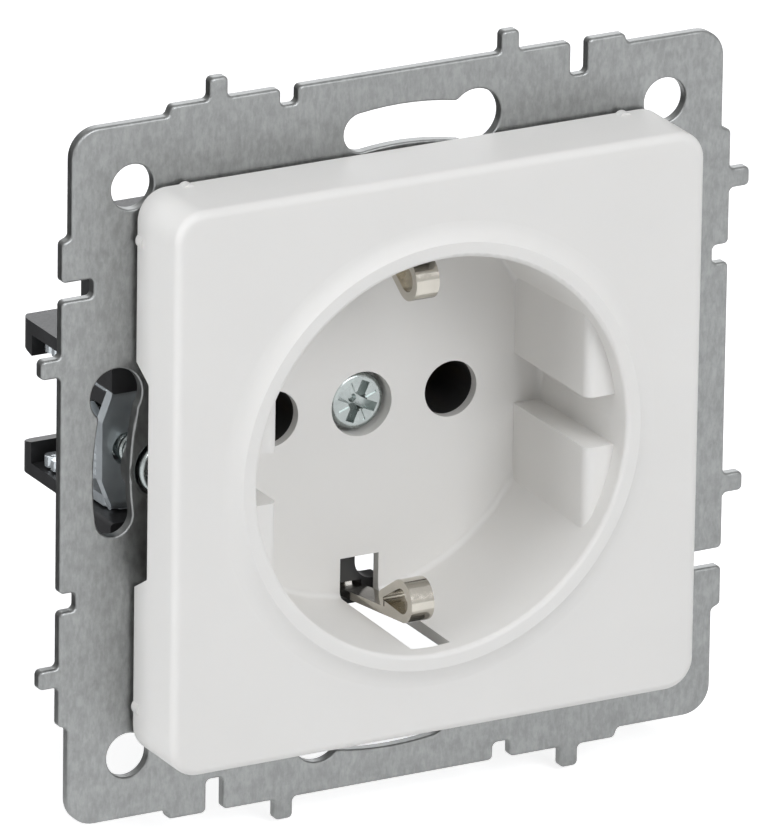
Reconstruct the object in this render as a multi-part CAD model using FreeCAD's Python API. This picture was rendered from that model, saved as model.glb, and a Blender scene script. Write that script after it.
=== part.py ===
import FreeCAD, Part
import math
import os

from FreeCAD import Vector as V

os.makedirs("parts", exist_ok=True)

# Frame: X to the right seen from the front, Z up, Y into the wall. Millimetres.
# The origin is the centre of the support frame on its wall side.
ORIGIN = V(0, 0, 0)

# Support frame
PLATE_T = 1.0
PLATE_ROUND = 0.3
EDGE_MAIN = 35.3
EDGE_CORNER = 34.34
CORNER_R = 2.8
STEP_AT = 24.0
STEP_SLOPE = 0.4
TAB_W = 1.9
TAB_OUT = 2.1
TAB_LEFT_AT = -19.15
TAB_RIGHT_AT = 11.45
NOTCH_W = 1.8
NOTCH_SHALLOW = 1.7
NOTCH_DEEP = 3.3
NOTCH_LEFT_AT = -11.8
NOTCH_RIGHT_AT = 18.8
STAMP_R = 0.5
CORNER_HOLE_AT = 28.06
CORNER_HOLE_R = 2.2
SLOT_R = 30.0
SLOT_W = 3.8
SLOT_END_DEG = -7.9
KEY_DEG = 14.9
KEY_AT_R = 30.6
KEY_R = 2.65
WINDOW_PLAY = 0.45
RELIEF_HALF = 7.0
RELIEF_OUT = 2.5
RELIEF_R = 1.5
DISH_WEB = 0.15
DISH_R = 2.85
DISH_WALL = 0.6
DISH_FLOOR_Y = 0.4
DISH_FLOOR_T = 0.6
DISH_LIP_R = 0.4
KEY_BLEND_R = 0.6
HOLE_ROUND = 0.2
SEAT_DEEP = 0.15
SEAT_PLAY = 0.1
OUTLINE_ZONE = 4.0

# Cover plate
COVER_HALF = 27.8
COVER_CORNER_R = 2.9
COVER_FACE_Y = -9.4
COVER_RIM_Y = -1.5
COVER_ROUND = 0.8
COVER_WALL = 1.8
COVER_SKIRT = 1.6
WELL_R_FLOOR = 19.2
WELL_R_MOUTH = 19.5
WELL_WALL = 1.05
WELL_FLOOR_Y = 6.0
WELL_FLOOR_T = 1.0
WELL_FOOT_R = 0.6
BEAD_R_OUT = 22.9
BEAD_R_CREST = 21.0
BEAD_RISE = 0.7
BEAD_LIP_R = 0.45
RIB_AT = 16.3
RIB_FRONT_Y = -8.0
RIB_ROUND = 0.9
RIB_GAP_HALF = 2.5
PIN_AT = 9.5
PIN_HOLE_R = 2.775
SINK_R = 3.2
SINK_FLOOR_Y = 8.6
BOSS_R = 4.4
BOSS_END_Y = 9.6
EARTH_SLOT_HALF = 2.05
EARTH_SLOT_FROM = 15.2
EARTH_SLOT_FRONT_Y = -8.2
SKIRT_CUT_DEEP = 2.5
SKIRT_CUT_HALF_RIM = 11.1
SKIRT_CUT_HALF_TOP = 9.6
BUMP_AT = 23.0
BUMP_PROUD = 0.22
BUMP_R = 0.8
BUMP_LONG = 1.0

# Cover screw and its nut
SCREW_SHANK_R = 1.75
SCREW_HEAD_R = 2.8
SCREW_HEAD_H = 1.8
SCREW_END_Y = 19.0
SCREW_PASS = 0.15
CLAW_SCREW_PASS = 0.3
RECESS_W = 0.9
RECESS_SPAN = 4.2
RECESS_TURN_DEG = 24.0
RECESS_CONE_R = 1.0
RECESS_CONE_DEEP = 1.5
RECESS_DEEP = 1.1
RECESS_MARK_W = 0.25
RECESS_MARK_DEEP = 0.15
NUT_ACROSS = 5.5
NUT_T = 2.5
THREAD_PLAY = 0.03

# Black base of the mechanism
BASE_HALF_X = 17.5
BASE_HALF_Z = 14.9
BASE_BACK_Y = 28.0
BASE_WALL = 1.5
BASE_CORNER_R = 1.2
DECK_T = 4.1
PARTITION_T = 1.0
EARTH_ROOM_HALF = 3.5
BOSS_PLAY = 0.3
COLUMN_PAST_BASE = 1.7
COLUMN_HALF = 3.0
COLUMN_SINK = 1.3
COLUMN_END_Y = 13.0
COLUMN_R = 0.6
COLUMN_WELL_PLAY = 0.35
ARM_PAST_DISH = 2.6
ARM_WALL_FROM = 6.4
ARM_WALL_T = 1.3
ARM_FRONT_Y = 3.0
ARM_FOOT_BACK_Y = 8.0
ARM_FOOT_H = 3.0
ARM_FOOT_PAST = 0.8
ARM_BACK_Y = 23.4
ARM_LIP_T = 2.6
ARM_LIP_TO = 4.3
ARM_LIP_SLANT = 0.65
ARM_ROUND = 0.4
ARM_CORNER_R = 1.6
SLEEVE_WALL = 1.1
SLEEVE_END_Y = 15.0
SLEEVE_FLANGE = 0.5
SLEEVE_FLANGE_T = 1.0
SLEEVE_PLAY = 0.05
HOLDER_LEFT = -3.4
HOLDER_RIGHT = 3.6
HOLDER_FRONT_Y = 8.0
HOLDER_BACK_Y = 13.5
HOLDER_BAR_T = 2.0
HOLDER_OPEN_X = 0.6
HOLDER_OPEN_TO = 18.45
HOLDER_OPEN_R = 1.9
HOLDER_PAST_WELL = 0.15
LEDGE_PAST_HINGE = 0.4
LEDGE_HALF_Z = 4.8
LEDGE_BACK_Y = 9.4
POST_X = 13.6
POST_FROM_EDGE = 3.9
POST_R = 2.7
SCREW_ACCESS_R = 2.6

# Rear cover with its screws and the four rivets
REAR_T = 2.0
WIRE_R = 1.7
WIRE_PITCH = 3.8
WIRE_RISE = 0.7
REAR_SCREW_R = 1.1
REAR_SCREW_LONG = 8.0
REAR_HEAD_R = 2.2
REAR_HEAD_H = 1.5
RIVET_R = 1.25
RIVET_HEAD_R = 2.2
RIVET_HEAD_H = 0.8
RIVET_LONG = 6.0
RIVET_PLAY = 0.05

# Earth strap
STRAP_T = 0.85
STRAP_HALF = 1.2
STRAP_MID_HALF = 3.0
STRAP_MID_TO = 6.6
STRAP_PLAY = 0.15
ARM_ROOT_Z = 19.2
ARM_BEND_R = 0.8
LOOP_FRONT_Y = -4.55
LOOP_FRONT_Z = 16.0
LOOP_FRONT_R = 2.08
LOOP_BACK_Y = -1.05
LOOP_BACK_Z = 16.9
LOOP_BACK_R = 0.9
LOOP_TIP_R = 0.15
LOOP_SLIT = 0.2
TAIL_HALF = 2.2

# Live contacts and their springs
CONTACT_T = 0.8
CONTACT_R = 2.3
LEAF_T = 0.7
LEAF_END_Y = 24.0
LEAF_SLIT = 0.8
LEAF_ROOT = 0.6
CONTACT_HALF = 3.6
CONTACT_LOW_Z = -3.6
TAIL_END_Y = 24.5
LIVE_TAIL_HALF = 3.2
SPRING_T = 0.45
SPRING_FROM_Y = 19.0
SPRING_W = 3.0
SPRING_GAP = 1.6

# Terminal clamps and screws
CLAMP_HALF = 4.4
CLAMP_EARTH_HALF = 3.2
CLAMP_Z = 5.6
CLAMP_PLAY = 0.8
CLAMP_WALL = 1.0
CLAMP_SCREW_WALL = 2.0
CLAMP_FROM_Y = 16.5
CLAMP_LONG = 8.0
TERM_R = 1.7
TERM_HEAD_R = 2.4
TERM_HEAD_H = 2.0
TERM_HEAD_LIFT = 0.4
TERM_REACH = 2.7
TERM_SLOT_W = 0.8
TERM_SLOT_DEEP = 0.9

# Spreading claws and their screws
CLAW_T = 1.2
CLAW_WEB_Y = 5.0
CLAW_HINGE_IN = 3.0
CLAW_BEND_R = 1.15
CLAW_PAST_DISH = 3.3
CLAW_SHOULDER = 1.3
CLAW_TONGUE_HALF = 2.9
CLAW_TONGUE_BACK_Y = 9.0
CLAW_TONGUE_FLARE = 1.2
CLAW_TONGUE_T = 0.9
SERRATION_PITCH = 0.8
SERRATION_DEEP = 0.2
CLAW_PLAY = 0.2
CLAW_HOLE_SHIFT = 0.1
CLAW_HOLE_HALF = 2.15
CLAW_HOLE_R = 1.65
CLAW_COLLAR_T = 0.5
CLAW_COLLAR_H = 0.5
LEG_T = 1.0
LEG_PAST_HINGE = 0.8
LEG_END_Y = 19.8
LEG_TIP_W = 2.0
LEG_TAPER = 6.0
TOOTH_DEEP = 0.45
TOOTH_PITCH = 1.2
TOOTH_COUNT = 3
CLAW_SCREW_R = 1.45
CLAW_HEAD_R = 2.6
CLAW_HEAD_H = 1.8
CLAW_SCREW_END_Y = 15.6

# Sizes that follow from the ones above
PLATE_FRONT_Y = -PLATE_T
WELL_R_OUT = WELL_R_MOUTH + WELL_WALL
HOLDER_OUT = WELL_R_OUT + HOLDER_PAST_WELL
COLUMN_AT = BASE_HALF_Z + COLUMN_PAST_BASE
WINDOW_R = WELL_R_OUT + WINDOW_PLAY
RELIEF_TO = WINDOW_R + RELIEF_OUT
DISH_AT = WINDOW_R + DISH_WEB + DISH_WALL + DISH_R
DECK_Y = WELL_FLOOR_Y + WELL_FLOOR_T
DECK_BACK_Y = DECK_Y + DECK_T
BEAD_CREST_Y = COVER_FACE_Y - BEAD_RISE
STRAP_BACK_Y = DECK_BACK_Y + STRAP_T
CLAMP_IN_Z = CLAMP_Z + CLAMP_WALL
CLAMP_TOP_Z = BASE_HALF_Z - BASE_WALL - CLAMP_PLAY
TERM_TIP_Z = CLAMP_TOP_Z - TERM_REACH
WIRE_Z = CLAMP_IN_Z + WIRE_R + WIRE_RISE
POST_Z = POST_FROM_EDGE - BASE_HALF_Z
SLEEVE_R = PIN_HOLE_R + SLEEVE_WALL
HINGE_Y = CLAW_WEB_Y + CLAW_T / 2
CLAW_BACK_Y = CLAW_WEB_Y + CLAW_T
CLAW_HALF_Z = ARM_WALL_FROM - CLAW_PLAY
CLAW_HINGE_X = DISH_AT - CLAW_HINGE_IN
CLAW_OUT = DISH_AT + CLAW_PAST_DISH
CLAW_SHOULDER_OUT = CLAW_OUT - CLAW_SHOULDER
CLAW_HOLE_AT = DISH_AT + CLAW_HOLE_SHIFT
LEG_FROM = CLAW_HINGE_X + LEG_PAST_HINGE
LEG_OUT = CLAW_SHOULDER_OUT
LEG_TIP_FROM = LEG_OUT - LEG_TIP_W
ARM_OUT = DISH_AT + ARM_PAST_DISH
LEDGE_OUT = CLAW_HINGE_X + LEDGE_PAST_HINGE


def box(x0, x1, y0, y1, z0, z1):
    """Block between two corners given in any order."""
    x = sorted((x0, x1))
    y = sorted((y0, y1))
    z = sorted((z0, z1))
    return Part.makeBox(x[1] - x[0], y[1] - y[0], z[1] - z[0], V(x[0], y[0], z[0]))


def rod_y(x, z, r, y0, y1):
    """Round bar along Y."""
    return Part.makeCylinder(r, y1 - y0, V(x, y0, z), V(0, 1, 0))


def rod_z(x, y, r, z0, z1):
    """Round bar along Z between two heights in any order."""
    low = min(z0, z1)
    return Part.makeCylinder(r, abs(z1 - z0), V(x, y, low), V(0, 0, 1))


def along(axis, edge):
    """True for a straight edge parallel to the axis."""
    if not isinstance(edge.Curve, Part.Line):
        return False
    ends = [v.Point for v in edge.Vertexes]
    run = ends[1].sub(ends[0])
    run.normalize()
    return abs(run.dot(axis)) > 0.999


def soft_box(x0, x1, y0, y1, z0, z1, r, axis):
    """Block with its four edges along one axis rounded."""
    block = box(x0, x1, y0, y1, z0, z1)
    return block.makeFillet(r, [e for e in block.Edges if along(axis, e)])


def cut_all(shape, tools):
    """Cut one tool after another."""
    for tool in tools:
        shape = shape.cut(tool)
    return shape


def fuse_all(shapes):
    """Join solids that touch or overlap into one clean solid."""
    whole = shapes[0]
    for other in shapes[1:]:
        whole = whole.fuse(other)
    return whole.removeSplitter()


def corner_arc(before, at, after, r):
    """Start, middle and end of the arc that rounds one corner."""
    a = before.sub(at).normalize()
    b = after.sub(at).normalize()
    half = a.getAngle(b) / 2
    reach = r / math.tan(half)
    inward = a.add(b).normalize()
    centre = at.add(inward * (r / math.sin(half)))
    middle = centre.sub(inward * r)
    return at.add(a * reach), middle, at.add(b * reach)


def rounded_wire(corners):
    """Closed wire through (point, rounding) corners."""
    count = len(corners)
    marks = []
    for i, (at, r) in enumerate(corners):
        if r <= 0:
            marks.append((at, None, at))
            continue
        before = corners[i - 1][0]
        after = corners[(i + 1) % count][0]
        marks.append(corner_arc(before, at, after, r))
    edges = []
    for i, (start, middle, end) in enumerate(marks):
        if middle is not None:
            edges.append(Part.Arc(start, middle, end).toShape())
        following = marks[(i + 1) % count][0]
        if end.distanceToPoint(following) > 1e-6:
            edges.append(Part.makeLine(end, following))
    return Part.Wire(edges)


def prism_y(corners, y0, y1):
    """Solid along Y from corners (x, z, rounding)."""
    wire = rounded_wire([(V(x, y0, z), r) for x, z, r in corners])
    return Part.Face(wire).extrude(V(0, y1 - y0, 0))


def prism_x(corners, x0, x1):
    """Solid along X from corners (y, z, rounding)."""
    wire = rounded_wire([(V(x0, y, z), r) for y, z, r in corners])
    return Part.Face(wire).extrude(V(x1 - x0, 0, 0))


def prism_z(corners, z0, z1):
    """Solid along Z from corners (x, y, rounding)."""
    wire = rounded_wire([(V(x, y, z0), r) for x, y, r in corners])
    return Part.Face(wire).extrude(V(0, 0, z1 - z0))


def square_y(half, r, y0, y1):
    """Square prism along Y with rounded corners."""
    return prism_y([(half, half, r), (half, -half, r), (-half, -half, r), (-half, half, r)], y0, y1)


def revolved(points):
    """Solid of revolution about Y from (radius, y) points, with arcs given as middle points."""
    edges = []
    place = lambda p: V(p[0], p[1], 0)
    for i, point in enumerate(points):
        following = points[(i + 1) % len(points)]
        if len(point) == 3:
            edges.append(Part.Arc(place(point), place(point[2]), place(following)).toShape())
        else:
            edges.append(Part.makeLine(place(point), place(following)))
    return Part.Face(Part.Wire(edges)).revolve(ORIGIN, V(0, 1, 0), 360)


def turned(shape, degrees):
    """Copy turned clockwise about the Y axis, seen from the front."""
    copy = shape.copy()
    copy.rotate(ORIGIN, V(0, 1, 0), degrees)
    return copy


def mirrored_x(shape):
    """Left-hand copy of a right-hand part."""
    return shape.mirror(ORIGIN, V(1, 0, 0))


def mirrored_z(shape):
    """Lower copy of an upper part."""
    return shape.mirror(ORIGIN, V(0, 0, 1))


def four_turned(shape):
    """The shape at each quarter turn about Y."""
    return [turned(shape, 90 * i) for i in range(4)]


def clock_point(radius, degrees):
    """Point at a clockwise angle from the top, seen from the front."""
    angle = math.radians(degrees)
    return radius * math.sin(angle), radius * math.cos(angle)


# Support frame

def side_bump(centre, width, rise):
    """Four corners of a tab or a notch on the upper side."""
    half = width / 2
    top = EDGE_MAIN + rise
    return [
        (centre - half, EDGE_MAIN, STAMP_R),
        (centre - half, top, STAMP_R),
        (centre + half, top, STAMP_R),
        (centre + half, EDGE_MAIN, STAMP_R),
    ]


def upper_side():
    """Corners of the upper side from left to right, ending with the right corner."""
    side = [(-STEP_AT - STEP_SLOPE, EDGE_CORNER, STAMP_R), (-STEP_AT, EDGE_MAIN, STAMP_R)]
    side += side_bump(TAB_LEFT_AT, TAB_W, TAB_OUT)
    side += side_bump(NOTCH_LEFT_AT, NOTCH_W, -NOTCH_SHALLOW)
    side += side_bump(TAB_RIGHT_AT, TAB_W, TAB_OUT)
    side += side_bump(NOTCH_RIGHT_AT, NOTCH_W, -NOTCH_DEEP)
    side += [(STEP_AT - STEP_SLOPE, EDGE_MAIN, STAMP_R), (STEP_AT, EDGE_CORNER, STAMP_R)]
    side.append((EDGE_CORNER, EDGE_CORNER, CORNER_R))
    return side


def quarter_turn(corners, times):
    """Corners turned clockwise by quarter turns."""
    for _ in range(times):
        corners = [(z, -x, r) for x, z, r in corners]
    return corners


def keyhole_slot():
    """Curved box-screw slot at the top, widened to a keyhole at one end."""
    inner = SLOT_R - SLOT_W / 2
    outer = SLOT_R + SLOT_W / 2
    front = PLATE_FRONT_Y - 1
    back = 1.0
    ring = rod_y(0, 0, outer, front, back).cut(rod_y(0, 0, inner, front - 1, back + 1))
    far = 2 * SLOT_R
    x0, z0 = clock_point(far, SLOT_END_DEG)
    x1, z1 = clock_point(far, KEY_DEG)
    wedge = prism_y([(0, 0, 0), (x0, z0, 0), (x1, z1, 0)], front, back)
    band = ring.common(wedge)
    end_x, end_z = clock_point(SLOT_R, SLOT_END_DEG)
    key_x, key_z = clock_point(KEY_AT_R, KEY_DEG)
    end = rod_y(end_x, end_z, SLOT_W / 2, front, back)
    key = rod_y(key_x, key_z, KEY_R, front, back)
    slot = fuse_all([band, end, key])
    necks = []
    for edge in slot.Edges:
        if along(V(0, 1, 0), edge) and edge.Vertexes[0].Point.distanceToPoint(V(key_x, front, key_z)) < KEY_R + 3:
            necks.append(edge)
    return slot.makeFillet(KEY_BLEND_R, necks)


def front_edges(shape, y):
    """Edges that lie at one depth."""
    return [e for e in shape.Edges if abs(e.BoundBox.YMin - y) < 1e-4 and abs(e.BoundBox.YMax - y) < 1e-4]


def front_rim_edges(shape, y, reach):
    """Edges of the outer outline on one front face."""
    chosen = []
    for edge in front_edges(shape, y):
        middle = edge.valueAt((edge.FirstParameter + edge.LastParameter) / 2)
        if max(abs(middle.x), abs(middle.z)) > reach:
            chosen.append(edge)
    return chosen


def dish(x):
    """Cup that holds one claw screw head, drawn back from the plate."""
    back = DISH_FLOOR_Y + DISH_FLOOR_T
    cup = rod_y(x, 0, DISH_R + DISH_WALL, PLATE_FRONT_Y, back)
    cup = cup.cut(rod_y(x, 0, DISH_R, PLATE_FRONT_Y - 1, DISH_FLOOR_Y))
    return cup.cut(rod_y(x, 0, CLAW_SCREW_R + CLAW_SCREW_PASS, 0, back + 1))


def column_seat(sx, sz):
    """Shallow coined seat in the frame's back for one column."""
    grow = COLUMN_HALF + SEAT_PLAY
    x = sx * COLUMN_AT
    inner = sz * (BASE_HALF_Z - COLUMN_SINK - SEAT_PLAY)
    outer = sz * (COLUMN_AT + grow)
    return soft_box(x - grow, x + grow, -SEAT_DEEP, 1, inner, outer, COLUMN_R + SEAT_PLAY, V(0, 1, 0))


def slot_and_hole_edges(plate):
    """Front edges of the curved slots and of the corner holes."""
    chosen = []
    for edge in front_edges(plate, PLATE_FRONT_Y):
        middle = edge.valueAt((edge.FirstParameter + edge.LastParameter) / 2)
        radius = math.hypot(middle.x, middle.z)
        corner = math.hypot(abs(middle.x) - CORNER_HOLE_AT, abs(middle.z) - CORNER_HOLE_AT)
        in_slot = SLOT_R - SLOT_W / 2 - HOLE_ROUND / 2 < radius < KEY_AT_R + KEY_R + HOLE_ROUND / 2
        if in_slot or corner < CORNER_HOLE_R + HOLE_ROUND / 2:
            chosen.append(edge)
    return chosen


def support_frame():
    """Stamped steel frame with tabs, notches, keyhole slots and the round window."""
    outline = []
    for times in range(4):
        outline += quarter_turn(upper_side(), times)
    plate = prism_y(outline, PLATE_FRONT_Y, 0)
    plate = plate.makeFillet(PLATE_ROUND, front_rim_edges(plate, PLATE_FRONT_Y, EDGE_MAIN - OUTLINE_ZONE))
    front = PLATE_FRONT_Y - 1
    tools = four_turned(keyhole_slot())
    for sx in (-1, 1):
        for sz in (-1, 1):
            tools.append(rod_y(sx * CORNER_HOLE_AT, sz * CORNER_HOLE_AT, CORNER_HOLE_R, front, 1))
            tools.append(rod_y(sx * COLUMN_AT, sz * COLUMN_AT, RIVET_R + RIVET_PLAY, front, 1))
            tools.append(column_seat(sx, sz))
        tools.append(rod_y(sx * DISH_AT, 0, DISH_R + DISH_WALL / 2, front, 1))
    tools.append(rod_y(0, 0, WINDOW_R, front, 1))
    half = RELIEF_HALF
    top = RELIEF_TO
    relief = [(half, top, RELIEF_R), (half, -top, RELIEF_R), (-half, -top, RELIEF_R), (-half, top, RELIEF_R)]
    tools.append(prism_y(relief, front, 1))
    plate = cut_all(plate, tools)
    plate = plate.makeFillet(HOLE_ROUND, slot_and_hole_edges(plate))
    plate = fuse_all([plate, dish(DISH_AT), dish(-DISH_AT)])
    lips = []
    for edge in front_edges(plate, PLATE_FRONT_Y):
        if isinstance(edge.Curve, Part.Circle) and abs(edge.Curve.Radius - DISH_R) < 1e-4:
            lips.append(edge)
    return plate.makeFillet(DISH_LIP_R, lips)


# Cover plate

def bead_ring():
    """Raised ring around the well, hollowed on its outer flank."""
    low = COVER_FACE_Y + 0.6
    run = BEAD_R_OUT - BEAD_R_CREST
    flank_r = (run * run + BEAD_RISE * BEAD_RISE) / (2 * BEAD_RISE)
    half = math.asin(run / flank_r) / 2
    mid_r = BEAD_R_OUT - flank_r * math.sin(half)
    mid_y = COVER_FACE_Y - flank_r * (1 - math.cos(half))
    inner = WELL_R_FLOOR - 0.5
    return revolved([
        (inner, low),
        (inner, BEAD_CREST_Y),
        (BEAD_R_CREST, BEAD_CREST_Y, (mid_r, mid_y)),
        (BEAD_R_OUT, COVER_FACE_Y),
        (BEAD_R_OUT, low),
    ])


def well_void():
    """Space inside the well, with the rounded lip and the rounded foot."""
    lip_r = BEAD_LIP_R
    lip_y = BEAD_CREST_Y + lip_r
    wall = WELL_R_MOUTH
    turn = lip_r * (1 - math.sqrt(0.5))
    foot = WELL_FOOT_R
    foot_turn = foot * (1 - math.sqrt(0.5))
    return revolved([
        (0, WELL_FLOOR_Y),
        (WELL_R_FLOOR - foot, WELL_FLOOR_Y, (WELL_R_FLOOR - foot_turn, WELL_FLOOR_Y - foot_turn)),
        (WELL_R_FLOOR, WELL_FLOOR_Y - foot),
        (wall, lip_y, (wall + turn, BEAD_CREST_Y + turn)),
        (wall + lip_r, BEAD_CREST_Y),
        (wall + lip_r, BEAD_CREST_Y - 2),
        (0, BEAD_CREST_Y - 2),
    ])


def guide_rib():
    """Right-hand rib: flat towards the middle, split by a gap."""
    out = WELL_R_MOUTH + WELL_WALL / 2
    back = WELL_FLOOR_Y + WELL_FLOOR_T / 2
    profile = [(RIB_AT, back, 0), (RIB_AT, RIB_FRONT_Y, RIB_ROUND), (out, RIB_FRONT_Y, 0), (out, back, 0)]
    rib = prism_z(profile, -out, out)
    rib = rib.common(rod_y(0, 0, out, RIB_FRONT_Y - 1, back + 1))
    return rib.cut(box(0, out + 1, RIB_FRONT_Y - 1, WELL_FLOOR_Y, -RIB_GAP_HALF, RIB_GAP_HALF))


def skirt_cut():
    """Shallow relief in the right-hand edge of the rim."""
    deep = COVER_RIM_Y - SKIRT_CUT_DEEP
    past = COVER_RIM_Y + 1
    slope = (SKIRT_CUT_HALF_RIM - SKIRT_CUT_HALF_TOP) / SKIRT_CUT_DEEP
    wide = SKIRT_CUT_HALF_RIM + slope
    profile = [(deep, -SKIRT_CUT_HALF_TOP, 0.4), (past, -wide, 0), (past, wide, 0), (deep, SKIRT_CUT_HALF_TOP, 0.4)]
    return prism_x(profile, COVER_HALF - COVER_SKIRT - 1, COVER_HALF + 1)


def rim_bumps():
    """Small half-round snap bumps on the rim, two on each side."""
    bumps = []
    for along_side in (-BUMP_AT, BUMP_AT):
        depth = COVER_HALF + BUMP_PROUD - BUMP_R
        bump = rod_y(along_side, depth, BUMP_R, COVER_RIM_Y - BUMP_LONG, COVER_RIM_Y)
        bumps += four_turned(bump)
    return bumps


def earth_slot():
    """Upper slot through the well floor and wall for the earth contact."""
    out = WELL_R_OUT + 1
    back = DECK_Y + 1
    return box(-EARTH_SLOT_HALF, EARTH_SLOT_HALF, EARTH_SLOT_FRONT_Y, back, EARTH_SLOT_FROM, out)


def cover_plate():
    """White moulding: square cover, round well wall, ribs and bead."""
    body = square_y(COVER_HALF, COVER_CORNER_R, COVER_FACE_Y, COVER_RIM_Y)
    body = body.makeFillet(COVER_ROUND, front_rim_edges(body, COVER_FACE_Y, COVER_HALF - OUTLINE_ZONE))
    inside = COVER_HALF - COVER_SKIRT
    cavity = square_y(inside, COVER_CORNER_R - COVER_SKIRT, COVER_FACE_Y + COVER_WALL, COVER_RIM_Y + 1)
    body = body.cut(cavity)
    cup = rod_y(0, 0, WELL_R_OUT, COVER_FACE_Y + COVER_WALL / 2, DECK_Y)
    body = fuse_all([body, cup, bead_ring()])
    body = body.cut(well_void())
    rib = guide_rib()
    body = fuse_all([body, rib, mirrored_x(rib)] + rim_bumps())
    slot = earth_slot()
    relief = skirt_cut()
    behind = rod_y(0, 0, WELL_R_OUT + 1, WELL_FLOOR_Y, DECK_Y + 1)
    return cut_all(body, [slot, mirrored_z(slot), relief, mirrored_x(relief), behind])


def well_floor():
    """White floor of the well with the pin holes, the earth slots and the screw boss."""
    disc = rod_y(0, 0, WELL_R_OUT, WELL_FLOOR_Y, DECK_Y)
    boss = rod_y(0, 0, BOSS_R, WELL_FLOOR_Y + WELL_FLOOR_T / 2, BOSS_END_Y)
    slot = earth_slot()
    tools = [slot, mirrored_z(slot)]
    for sx in (-1, 1):
        tools.append(rod_y(sx * PIN_AT, 0, PIN_HOLE_R, WELL_FLOOR_Y - 1, DECK_Y + 1))
    tools.append(rod_y(0, 0, SINK_R, WELL_FLOOR_Y - 1, SINK_FLOOR_Y))
    tools.append(rod_y(0, 0, SCREW_SHANK_R + SCREW_PASS, SINK_FLOOR_Y - 1, BOSS_END_Y + 1))
    return cut_all(fuse_all([disc, boss]), tools)


# Screws

def cross_recess(head_y):
    """Cross recess with four thin marks between its arms."""
    deep = head_y + RECESS_DEEP
    tools = [Part.makeCone(RECESS_CONE_R, 0.2, RECESS_CONE_DEEP, V(0, head_y, 0), V(0, 1, 0))]
    for i in range(2):
        half = RECESS_SPAN / 2
        bar = box(-half, half, head_y - 1, deep, -RECESS_W / 2, RECESS_W / 2)
        tools.append(turned(bar, RECESS_TURN_DEG + 90 * i))
        mark_deep = head_y + RECESS_MARK_DEEP
        mark = box(-half, half, head_y - 1, mark_deep, -RECESS_MARK_W / 2, RECESS_MARK_W / 2)
        tools.append(turned(mark, RECESS_TURN_DEG + 45 + 90 * i))
    return tools


def rounded_head(r, y0, y1, edge_r):
    """Screw head along Y with a rounded front edge."""
    head = rod_y(0, 0, r, y0, y1)
    front = [e for e in head.Edges if abs(e.BoundBox.YMax - y0) < 1e-4]
    return head.makeFillet(edge_r, front)


def cover_screw():
    """Centre screw that holds the cover."""
    head_y = SINK_FLOOR_Y - SCREW_HEAD_H
    head = rounded_head(SCREW_HEAD_R, head_y, SINK_FLOOR_Y, 0.5)
    shank = rod_y(0, 0, SCREW_SHANK_R, SINK_FLOOR_Y - 0.2, SCREW_END_Y)
    return cut_all(fuse_all([head, shank]), cross_recess(head_y))


def strap_nut():
    """Square nut behind the earth strap."""
    half = NUT_ACROSS / 2
    nut = soft_box(-half, half, STRAP_BACK_Y, STRAP_BACK_Y + NUT_T, -half, half, 0.5, V(0, 1, 0))
    return nut.cut(rod_y(0, 0, SCREW_SHANK_R + THREAD_PLAY, STRAP_BACK_Y - 1, STRAP_BACK_Y + NUT_T + 1))


# Earth strap

def hull_prism(y0, z0, r0, y1, z1, r1, half):
    """Prism along X around two circles and the straight sides between them."""
    dy = y1 - y0
    dz = z1 - z0
    reach = math.hypot(dy, dz)
    heading = math.atan2(dz, dy)
    lean = math.acos((r0 - r1) / reach)
    corners = []
    for y, z, r, order in ((y0, z0, r0, (-1, 1)), (y1, z1, r1, (1, -1))):
        for side in order:
            angle = heading + side * lean
            corners.append((y + r * math.cos(angle), z + r * math.sin(angle), 0))
    middle = prism_x(corners, -half, half)
    start = Part.makeCylinder(r0, 2 * half, V(-half, y0, z0), V(1, 0, 0))
    end = Part.makeCylinder(r1, 2 * half, V(-half, y1, z1), V(1, 0, 0))
    return fuse_all([middle, start, end])


def arm_slope():
    """Inward lean of the arm per millimetre forward."""
    inner = LOOP_FRONT_Z + LOOP_FRONT_R - STRAP_T
    return (ARM_ROOT_Z - inner) / (DECK_BACK_Y - LOOP_FRONT_Y)


def arm_z(y):
    """Height of the arm's inner face at one depth."""
    return ARM_ROOT_Z - arm_slope() * (DECK_BACK_Y - y)


def earth_arm():
    """Upper arm of the strap with its rolled contact loop."""
    root = ARM_ROOT_Z + STRAP_T
    profile = [
        (DECK_BACK_Y, STRAP_HALF, 0),
        (DECK_BACK_Y, ARM_ROOT_Z, 0.3),
        (LOOP_FRONT_Y, arm_z(LOOP_FRONT_Y), 0),
        (LOOP_FRONT_Y, arm_z(LOOP_FRONT_Y) + STRAP_T, 0),
        (STRAP_BACK_Y, root, ARM_BEND_R + 0.3),
        (STRAP_BACK_Y, STRAP_HALF, 0),
    ]
    arm = prism_x(profile, -STRAP_HALF, STRAP_HALF)
    ring = hull_prism(
        LOOP_FRONT_Y, LOOP_FRONT_Z, LOOP_FRONT_R, LOOP_BACK_Y, LOOP_BACK_Z, LOOP_BACK_R, STRAP_HALF)
    hole = hull_prism(
        LOOP_FRONT_Y, LOOP_FRONT_Z, LOOP_FRONT_R - STRAP_T,
        LOOP_BACK_Y, LOOP_BACK_Z, LOOP_TIP_R, STRAP_HALF + 1)
    slit_y = LOOP_BACK_Y - LOOP_SLIT
    wide = STRAP_HALF + 1
    slit = box(-wide, wide, slit_y, slit_y + LOOP_SLIT, LOOP_BACK_Z, arm_z(slit_y))
    return fuse_all([arm, ring]).cut(hole).cut(slit)


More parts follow.
